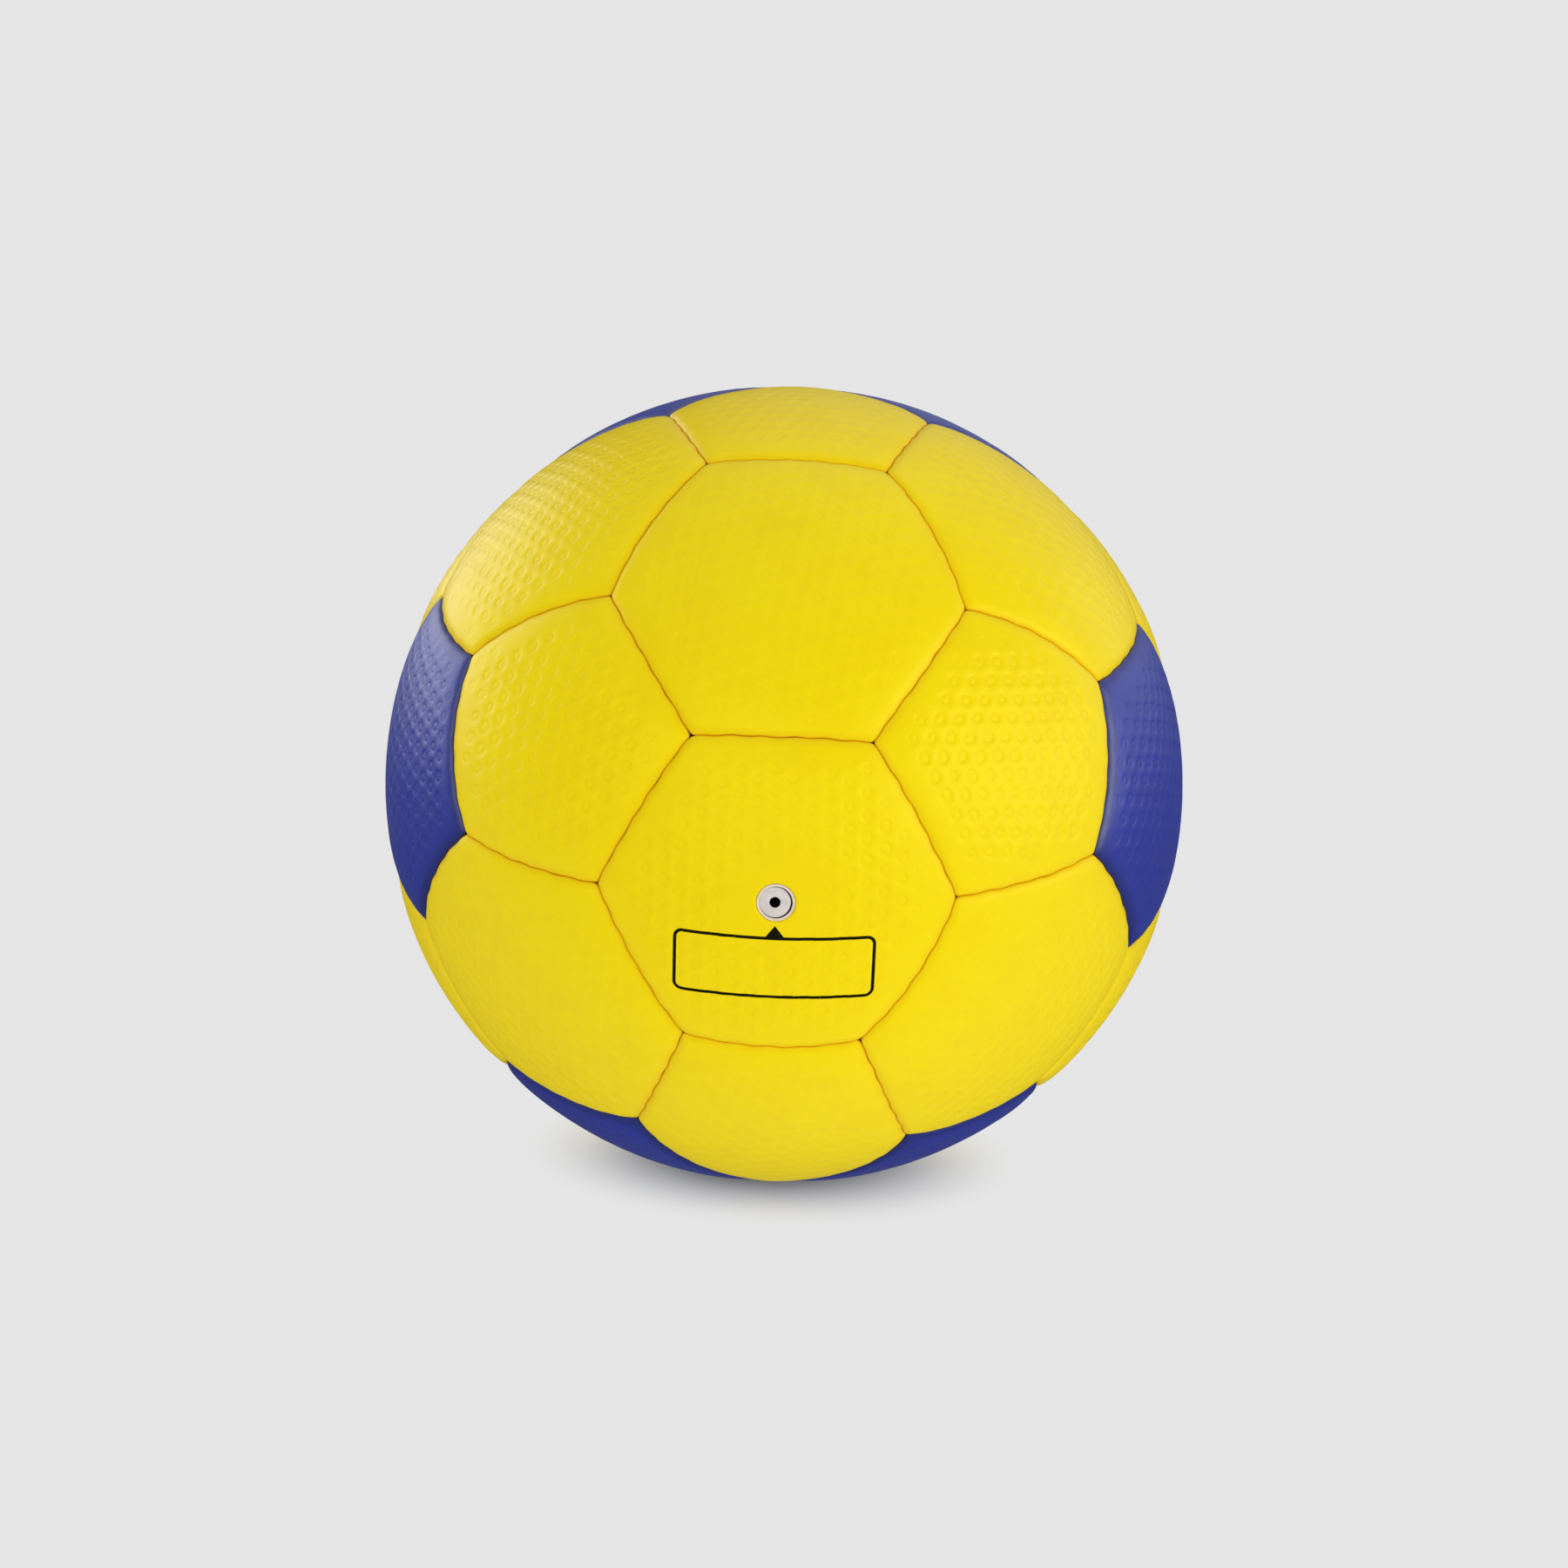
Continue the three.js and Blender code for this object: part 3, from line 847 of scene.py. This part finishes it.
def pressDimples(bm, panel, pressed):
    rim = dimple["rim"]

    def roomy(vert):
        point = vert.co
        if vert.is_boundary or reachFrom(panel, point) < dimple["firstRow"]:
            return False
        if panel["node"] == "valve_hexagon" and point.xz.length < sheet["valveClear"]:
            return False
        return min(edge.calc_length() for edge in vert.link_edges) > rim + dimple["room"]

    chosen = {vert for vert in bm.verts if roomy(vert)}
    for edge in bm.edges:
        if all(vert in chosen for vert in edge.verts) and edge.calc_length() < 2 * rim + dimple["room"]:
            chosen.discard(edge.verts[0])
    pads = cutTips(bm, list(chosen), rim)
    usual = dimple["blueShare"] if "blue" in panel["node"] else 1
    strength = pressedShares.get(panel["node"], usual)
    depths = {}
    for pad in pads:
        middle = pad.calc_center_median()
        size = dice.uniform(*dimple["sizes"])
        bmesh.ops.scale(bm, vec=(size,) * 3, space=Matrix.Translation(-middle), verts=pad.verts[:])
        far = (reachFrom(panel, middle) - dimple["firstRow"]) / (dimple["fullRow"] - dimple["firstRow"])
        depths[pad] = strength * (dimple["faintest"] + (1 - dimple["faintest"]) * clamped(far))
    for width, rise, shade in (dimple["groove"], dimple["button"]):
        bmesh.ops.inset_individual(bm, faces=pads, thickness=width, use_even_offset=True)
        for pad in pads:
            shift = pad.calc_center_median().normalized() * rise * depths[pad]
            for vert in pad.verts:
                vert.co += shift
                vert[pressed] = shade * depths[pad]
    return len(pads)


def rollEdges(bm, panel, edges):
    # the skin rolls over to the lip, the edge is turned in, and the lining runs back to the middle
    lip, trim = cover["lipGap"], sheet["trim"]

    def ringAt(reach, depth):
        def place(point):
            return onRing(panel, outwardFrom(panel, point), reach, depth)
        return place

    for step in range(1, sheet["rollRings"] + 1):
        reach = lip + (trim - lip) * (1 - step / sheet["rollRings"]) ** sheet["ringBias"]
        edges = extrudeRing(bm, edges, ringAt(reach, skinDepth(panel, reach)))
    outer, inner = cover["flangeGap"], cover["flangeGap"] + cover["flangeWall"]
    lipDepth = skinDepth(panel, lip)
    turns = [
        (lip, lipDepth + cover["lipDrop"]),
        (outer, lipDepth + 3 * cover["lipDrop"]),
        (outer, cover["flangeDepth"]),
        (inner, cover["flangeDepth"]),
    ]
    linings = [share * panel["apothem"] for share in sheet["liningRings"]]
    for reach in [inner + cover["flangeWall"]] + linings:
        turns.append((reach, cover["thickness"] + skinDepth(panel, max(reach, cover["rollReach"]))))
    for reach, depth in turns:
        edges = extrudeRing(bm, edges, ringAt(reach, depth))
    return edges


def addMesh(bm, name, finish):
    mesh = bpy.data.meshes.new(name)
    bm.to_mesh(mesh)
    bm.free()
    mesh.materials.append(finish)
    added = bpy.data.objects.new(name, mesh)
    bpy.context.scene.collection.objects.link(added)
    return added


def addPiece(bm, name, finish, subdivisions=0):
    for face in bm.faces:
        face.smooth = True
    piece = addMesh(bm, name, finish)
    if subdivisions:
        smooth = piece.modifiers.new("smooth", "SUBSURF")
        smooth.levels = smooth.render_levels = subdivisions
    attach(piece, "root")
    return piece


def makePanelPiece(panel):
    hasValve = panel["node"] == "valve_hexagon"
    turn = rowTurns.get(panel["node"], dice.uniform(-sheet["mostTurn"], sheet["mostTurn"]))
    bm = staggeredSheet(panel, math.radians(turn))
    cutSheet(bm, panel)
    if hasValve:
        cutValveHole(bm)
        shortenEdges(bm, freeEdges(bm, panel, True), sheet["longEdgeAtValve"])
    shortenEdges(bm, freeEdges(bm, panel), sheet["longEdge"])
    pointCorners(bm, panel)
    rim, trim = vertsOf(freeEdges(bm, panel)), sheet["trim"]
    for vert in bm.verts:
        if vert in rim:
            vert.co = onRing(panel, outwardFrom(panel, vert.co), trim, skinDepth(panel, trim))
        else:
            depth = skinDepth(panel, reachFrom(panel, vert.co))
            vert.co = vert.co.normalized() * (ballRadius - depth + swell(vert.co))
    pressed = bm.verts.layers.float.new("pressed")
    count = pressDimples(bm, panel, pressed)
    last = rollEdges(bm, panel, freeEdges(bm, panel))
    if hasValve:
        hole = [edge for edge in freeEdges(bm, panel, True) if edge not in last]
        for radius, depth in valveSeat:
            hole = extrudeRing(bm, hole, atValve(radius * mm, depth * mm))
        hole = extrudeRing(bm, hole, atValve(radius * mm, cover["thickness"]))
        bmesh.ops.bridge_loops(bm, edges=hole + last)
    else:
        inmost = panel["middle"] * (ballRadius - cover["thickness"])
        bmesh.ops.pointmerge(bm, verts=list(vertsOf(last)), merge_co=inmost)
    bmesh.ops.recalc_face_normals(bm, faces=bm.faces[:])
    fromSeam = bm.verts.layers.float.new("fromSeam")
    for vert in bm.verts:
        nearest = min(vert.co.dot(side["inward"]) for side in panel["sides"])
        vert[fromSeam] = min(sheet["seamMost"], nearest / mm)
        vert.co = settled(panel, vert.co)
    colour = "blue" if "blue" in panel["node"] else "yellow"
    finish = finishes["printed" if hasValve else colour]
    piece = addPiece(bm, panel["node"] + "_skin", finish, subdivisions=1)
    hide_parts(panel["node"])
    colour + "_cover"
    return count


def atValve(radius, depth):
    def place(point):
        across = Vector((point.x, 0, point.z)).normalized() * radius
        return across + ball["valveWay"] * (math.sqrt(ballRadius ** 2 - radius ** 2) - depth)
    return place


dimpleCount = sum(makePanelPiece(panel) for panel in panels)
print("panels made, with", dimpleCount, "dimples")


# the sewing thread, one stitch after another along each seam

stitch = {
    "sides": 8, "rings": 7,
    "thick": 0.25 * mm,
    "gap": 0.6 * mm,
    "depth": 2.3 * mm,
    "slant": math.radians(3.0),
    "plump": 0.25,  # how much fuller its ends are than a spindle's
}


def makeStitch(seam, along, length):
    half = Vector((stitch["thick"] / 2, stitch["thick"] / 2, length / 2))
    bm = bmesh.new()
    bmesh.ops.create_uvsphere(bm, u_segments=stitch["sides"], v_segments=stitch["rings"], radius=1)
    strand = bm.verts.layers.float_vector.new("strand")
    for vert in bm.verts:
        vert[strand] = Vector((vert.co.x, vert.co.y, vert.co.z * half.z / mm))
        vert.co.z *= 1 + stitch["plump"] * (1 - vert.co.z ** 2)
    bmesh.ops.scale(bm, vec=half, verts=bm.verts[:])
    turn = along / ballRadius
    way = seam["middle"] * math.cos(turn) + seam["along"] * math.sin(turn)
    point = way * (ballRadius - stitch["depth"])
    sideways, down = stitchPull(seam, point)
    bow, slope = bowAt(seam, point)
    outward = point.normalized()
    forward = seam["along"] * math.cos(turn) - seam["middle"] * math.sin(turn)
    frameOf = Matrix((forward.cross(outward), outward, forward)).transposed()
    slant = Matrix.Rotation(stitch["slant"] * math.copysign(1, sideways) + math.atan(slope), 3, outward)
    point = point + seam["normal"] * (sideways + bow) - outward * cornerDip(seam["ends"], point)
    place = Matrix.Translation(point) @ (slant @ frameOf).to_4x4()
    bmesh.ops.transform(bm, matrix=place, verts=bm.verts[:])
    return bm


def makeThread():
    bm = bmesh.new()
    one = bpy.data.meshes.new("stitch")
    for seam in seams:
        count = round(2 * seam["half"] / stitching["pitch"])
        pitch = 2 * seam["half"] / count
        for index in range(count):
            made = makeStitch(seam, (index + 0.5) * pitch - seam["half"], pitch - stitch["gap"])
            made.to_mesh(one)
            made.free()
            bm.from_mesh(one)
    bpy.data.meshes.remove(one)
    bmesh.ops.recalc_face_normals(bm, faces=bm.faces[:])
    piece = addPiece(bm, "seam_stitches", finishes["thread"])
    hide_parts("seam_thread")


makeThread()
print("thread sewn in")


# the valve

# in millimetres, and depths are below the ball's surface
valve = {
    "turnSteps": 72,
    "needleHole": 1.1, "needleDepth": 6.5,
    "face": 0.5,
    "headRadius": 3.22, "shoulder": 2.3, "stemRadius": 2.3, "coreEnd": 12.5,
    "seatRadius": 3.42, "rimRadius": 4.0, "rimTop": 0.36, "boreRadius": 2.6,
    "cupEnd": 14.0, "floor": 12.8, "vent": 0.8,
    "flangeRadius": 11.0, "flangeDepth": 4.4, "flangeWall": 1.2,
    "edge": 0.13, "edgeSteps": 3,
    "sharp": 0.5,  # radians; edges that turn more are rounded
    "push": Vector((-0.17, 0, 0.05)),  # the core sits a little to one side in its cup
    # small steps of the outlines: needle hole, head, stem, cup and rim
    "tip": (0.35, 0.5), "throat": (0.8, 2.6), "mouth": (0.5, 0.02, 1.0), "brim": (0.55, 0.5, 0.06, 0.08),
    "stemTaper": (0.6, 1.2), "cupTaper": 1.0, "rimFall": (0.1, 0.12), "clearance": 0.3,
}


def turnedPiece(points):
    # points are (radius, depth below the ball's surface) in millimetres
    bm = bmesh.new()
    verts = [bm.verts.new((radius * mm, -(ballRadius - depth * mm), 0)) for radius, depth in points]
    edges = [bm.edges.new(pair) for pair in zip(verts, verts[1:])]
    if points[0][0] > 0 and points[-1][0] > 0:
        edges.append(bm.edges.new((verts[-1], verts[0])))
    bmesh.ops.spin(
        bm, geom=verts + edges, cent=(0, 0, 0), axis=(0, 1, 0), angle=math.tau,
        steps=valve["turnSteps"], use_merge=True,
    )
    bmesh.ops.remove_doubles(bm, verts=bm.verts[:], dist=sameSpot["valve"])
    bmesh.ops.recalc_face_normals(bm, faces=bm.faces[:])
    sharp = [edge for edge in bm.edges if edge.calc_face_angle(0) > valve["sharp"]]
    bmesh.ops.bevel(
        bm, geom=sharp, offset=valve["edge"] * mm, offset_type="OFFSET", affect="EDGES",
        segments=valve["edgeSteps"], profile=0.5, material=-1, clamp_overlap=True,
    )
    bmesh.ops.remove_doubles(bm, verts=bm.verts[:], dist=sameSpot["valve"])
    return bm


def makeCore():
    hole, face, head, stem = valve["needleHole"], valve["face"], valve["headRadius"], valve["stemRadius"]
    throat, mouth, brim, taper = valve["throat"], valve["mouth"], valve["brim"], valve["stemTaper"]
    points = [
        (0, valve["needleDepth"] + face),
        (hole * valve["tip"][0], valve["needleDepth"] + face - valve["tip"][1]),
        (hole * throat[0], face + throat[1]),
        (hole, face + mouth[2]),
        (hole, face + mouth[1]),
        (hole + mouth[0], face),
        (head - brim[0], face),
        (head - brim[1], face + brim[2]),
        (head, face + brim[3]),
        (head, valve["shoulder"]),
        (stem, valve["shoulder"]),
        (stem, valve["coreEnd"] - taper[1]),
        (stem - taper[0], valve["coreEnd"]),
        (0, valve["coreEnd"]),
    ]
    bm = turnedPiece(points)
    bmesh.ops.translate(bm, vec=valve["push"] * mm, verts=bm.verts[:])
    piece = addPiece(bm, "valve_core_plug", finishes["core"])
    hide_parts("valve_core")


def makeHousing():
    # the thin rim round the core, the cup below it and the flange on the bladder
    def flangePoint(radius, depth):
        return radius, depth + (ballRadius - math.sqrt(ballRadius ** 2 - (radius * mm) ** 2)) / mm

    rim, seat, edge = valve["rimRadius"], valve["seatRadius"], valve["flangeRadius"]
    top, bottom = valve["flangeDepth"], valve["flangeDepth"] + valve["flangeWall"]
    points = [
        (valve["vent"], valve["cupEnd"]),
        (rim - valve["cupTaper"], valve["cupEnd"]),
        (rim, valve["cupEnd"] - valve["cupTaper"]),
        flangePoint(rim, bottom),
        flangePoint((rim + edge) / 2, bottom),
        flangePoint(edge, bottom),
        flangePoint(edge + 0.01, top),
        flangePoint((rim + edge) / 2, top),
        flangePoint(rim, top),
        (rim, valve["rimTop"] + valve["rimFall"][0]),
        ((rim + seat) / 2, valve["rimTop"]),
        (seat, valve["rimTop"] + valve["rimFall"][1]),
        (seat, valve["shoulder"] + valve["clearance"]),
        (valve["boreRadius"], valve["shoulder"] + valve["clearance"]),
        (valve["boreRadius"], valve["floor"]),
        (valve["vent"], valve["floor"]),
    ]
    piece = addPiece(turnedPiece(points), "valve_rim_cup", finishes["rim"])
    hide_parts("valve_housing")


makeCore()
makeHousing()
print("valve turned")


# what the cover hides: the cloth patch round the valve, and the bladder

patch = {
    "hole": 4.3 * mm,
    "radius": 16 * mm,
    "depth": 3.3 * mm,
    "wall": 0.8 * mm,
    "segments": 64, "rings": 5,
}


def makePatch():
    bm = bmesh.new()
    made = bmesh.ops.create_circle(bm, segments=patch["segments"], radius=1)
    face = atValve(patch["hole"], patch["depth"])
    for vert in made["verts"]:
        vert.co = face(Vector((vert.co.x, 0, vert.co.y)))
    ring = bm.edges[:]
    for step in range(1, patch["rings"] + 1):
        radius = patch["hole"] + (patch["radius"] - patch["hole"]) * step / patch["rings"]
        ring = extrudeRing(bm, ring, atValve(radius, patch["depth"]))
    bmesh.ops.recalc_face_normals(bm, faces=bm.faces[:])
    if sum(face.normal.y for face in bm.faces) > 0:
        bmesh.ops.reverse_faces(bm, faces=bm.faces[:])
    bmesh.ops.solidify(bm, geom=bm.faces[:], thickness=patch["wall"])
    piece = addPiece(bm, "valve_patch_cloth", finishes["canvas"])
    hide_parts("valve_patch")


bladder = {
    "subdivisions": 6,
    "underPanel": 3.62 * mm,
    "underValve": 5.95 * mm,
    "crease": 7.6 * mm,
    "bulgeReach": 8 * mm,
    "wall": 0.9 * mm,
    "hole": 4.35 * mm,
}


def makeBladder():
    # it bulges against every lining and is creased by the turned-in edges
    bm = bmesh.new()
    bmesh.ops.create_icosphere(bm, subdivisions=bladder["subdivisions"], radius=1)
    for vert in bm.verts:
        way = vert.co.normalized()
        near = sorted(panels, key=lambda panel: -way.dot(panel["middle"]))[:3]
        reaches = [min(way.dot(side["inward"]) for side in panel["sides"]) * ballRadius for panel in near]
        reach = max(reaches)
        panel = near[reaches.index(reach)]
        flat = bladder["underValve"] if panel["node"] == "valve_hexagon" else bladder["underPanel"]
        over = 1 - clamped(reach / bladder["bulgeReach"])
        vert.co = settled(panel, way * (ballRadius - flat - (bladder["crease"] - flat) * over * over))
    inside = [vert for vert in bm.verts if vert.co.y < 0 and vert.co.xz.length < bladder["hole"]]
    bmesh.ops.delete(bm, geom=inside, context="VERTS")
    for vert in bm.verts:
        if vert.is_boundary:
            across = Vector((vert.co.x, 0, vert.co.z)).normalized() * bladder["hole"]
            vert.co = Vector((across.x, vert.co.y, across.z))
    bmesh.ops.solidify(bm, geom=bm.faces[:], thickness=bladder["wall"])
    piece = addPiece(bm, "bladder_latex", finishes["latex"])
    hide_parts("bladder")


makePatch()
makeBladder()
print("patch and bladder made")


# floor and light

studio = {
    "floorRadius": 60,
    "innerRadius": 1,
    # the paper round the ball is darker and yellower than the lit table: painted shade deepening the
    # ball's shadow, tinted against the blue light the ball throws
    "floorTone": (0.64, 0.64, 0.54, 1),
    "backdrop": tone("e5e5e5"),
    "mirrored": 0.03,  # how brightly the table shows in the ball's gloss
    "bounce": 1.22,  # and how brightly it lights the ball from below
    "shadow": (0.12, 0.48),  # in ball radii: the lit table glows evenly outside this ring
    "shadowStretch": 1.4,  # sideways
    "sky": 0.02,
}

# broad soft lights far away: degrees from the valve's side, degrees up, how wide, and how bright
softLights = {
    "top": (0, 90, (0.60, 0.95), 1.00),
    "leftBack": (-124, 5, (0.78, 0.97), 2.75),
    "leftHigh": (-50, 40, (0.78, 0.97), 0.64),
    "front": (-18, 3, (0.72, 0.97), 1.57),
    "rightFront": (60, 3, (0.78, 0.97), 3.80),
    "rightBack": (108, 5, (0.78, 0.97), 0.80),
    "back": (155, 35, (0.70, 0.97), 0.56),
}


def makeFloor():
    bm = bmesh.new()
    bmesh.ops.create_circle(bm, cap_ends=True, segments=96, radius=studio["floorRadius"])
    bmesh.ops.translate(bm, vec=(0, 0, -ballRadius), verts=bm.verts[:])
    bmesh.ops.inset_region(bm, faces=bm.faces[:], thickness=studio["floorRadius"] - studio["innerRadius"])
    shading = newFinish("paleFloor")
    across, along, up = shading.parts(shading.place())
    fromBall = ((across / studio["shadowStretch"]) ** 2 + along ** 2) ** 0.5 / ballRadius
    # painted shade: the darker paper where the ball's shadow falls
    paper = shading.node("ShaderNodeBsdfDiffuse", {}, {"Color": studio["floorTone"]})
    mirrored = shading.node("ShaderNodeLightPath", output="Is Glossy Ray")
    bounced = shading.node("ShaderNodeLightPath", output="Is Diffuse Ray")
    glow = 1 - mirrored * (1 - studio["mirrored"]) + bounced * (studio["bounce"] - 1)
    lit = shading.node("ShaderNodeEmission", {}, {"Color": studio["backdrop"], "Strength": glow})
    outside = fromBall.ramp(*studio["shadow"])
    table = shading.node("ShaderNodeMixShader", {}, {0: outside, 1: paper, 2: lit})
    shading.node("ShaderNodeOutputMaterial", {}, {"Surface": table})
    addMesh(bm, "floor", shading.owner)


def makeSky():
    world = bpy.data.worlds.new("studio")
    bpy.context.scene.world = world
    shading = Shading(world)
    way = shading.node("ShaderNodeTexCoord", output="Generated")
    total = None
    for azimuth, elevation, edge, strength in softLights.values():
        middle = toward(azimuth, elevation)
        dotted = {0: way, 1: middle}
        facing = shading.node("ShaderNodeVectorMath", {"operation": "DOT_PRODUCT"}, dotted, "Value")
        share = facing.ramp(*edge) * strength
        total = share if total is None else total + share
    glow = shading.node("ShaderNodeBackground", {}, {"Strength": total + studio["sky"]})
    backdrop = shading.node("ShaderNodeBackground", {}, {"Color": studio["backdrop"]})
    seen = shading.node("ShaderNodeLightPath", output="Is Camera Ray")
    shown = shading.node("ShaderNodeMixShader", {}, {0: seen, 1: glow, 2: backdrop})
    shading.node("ShaderNodeOutputWorld", {}, {"Surface": shown})


makeFloor()
makeSky()
bpy.context.scene.view_settings.view_transform = "Standard"
print("floor and light set")
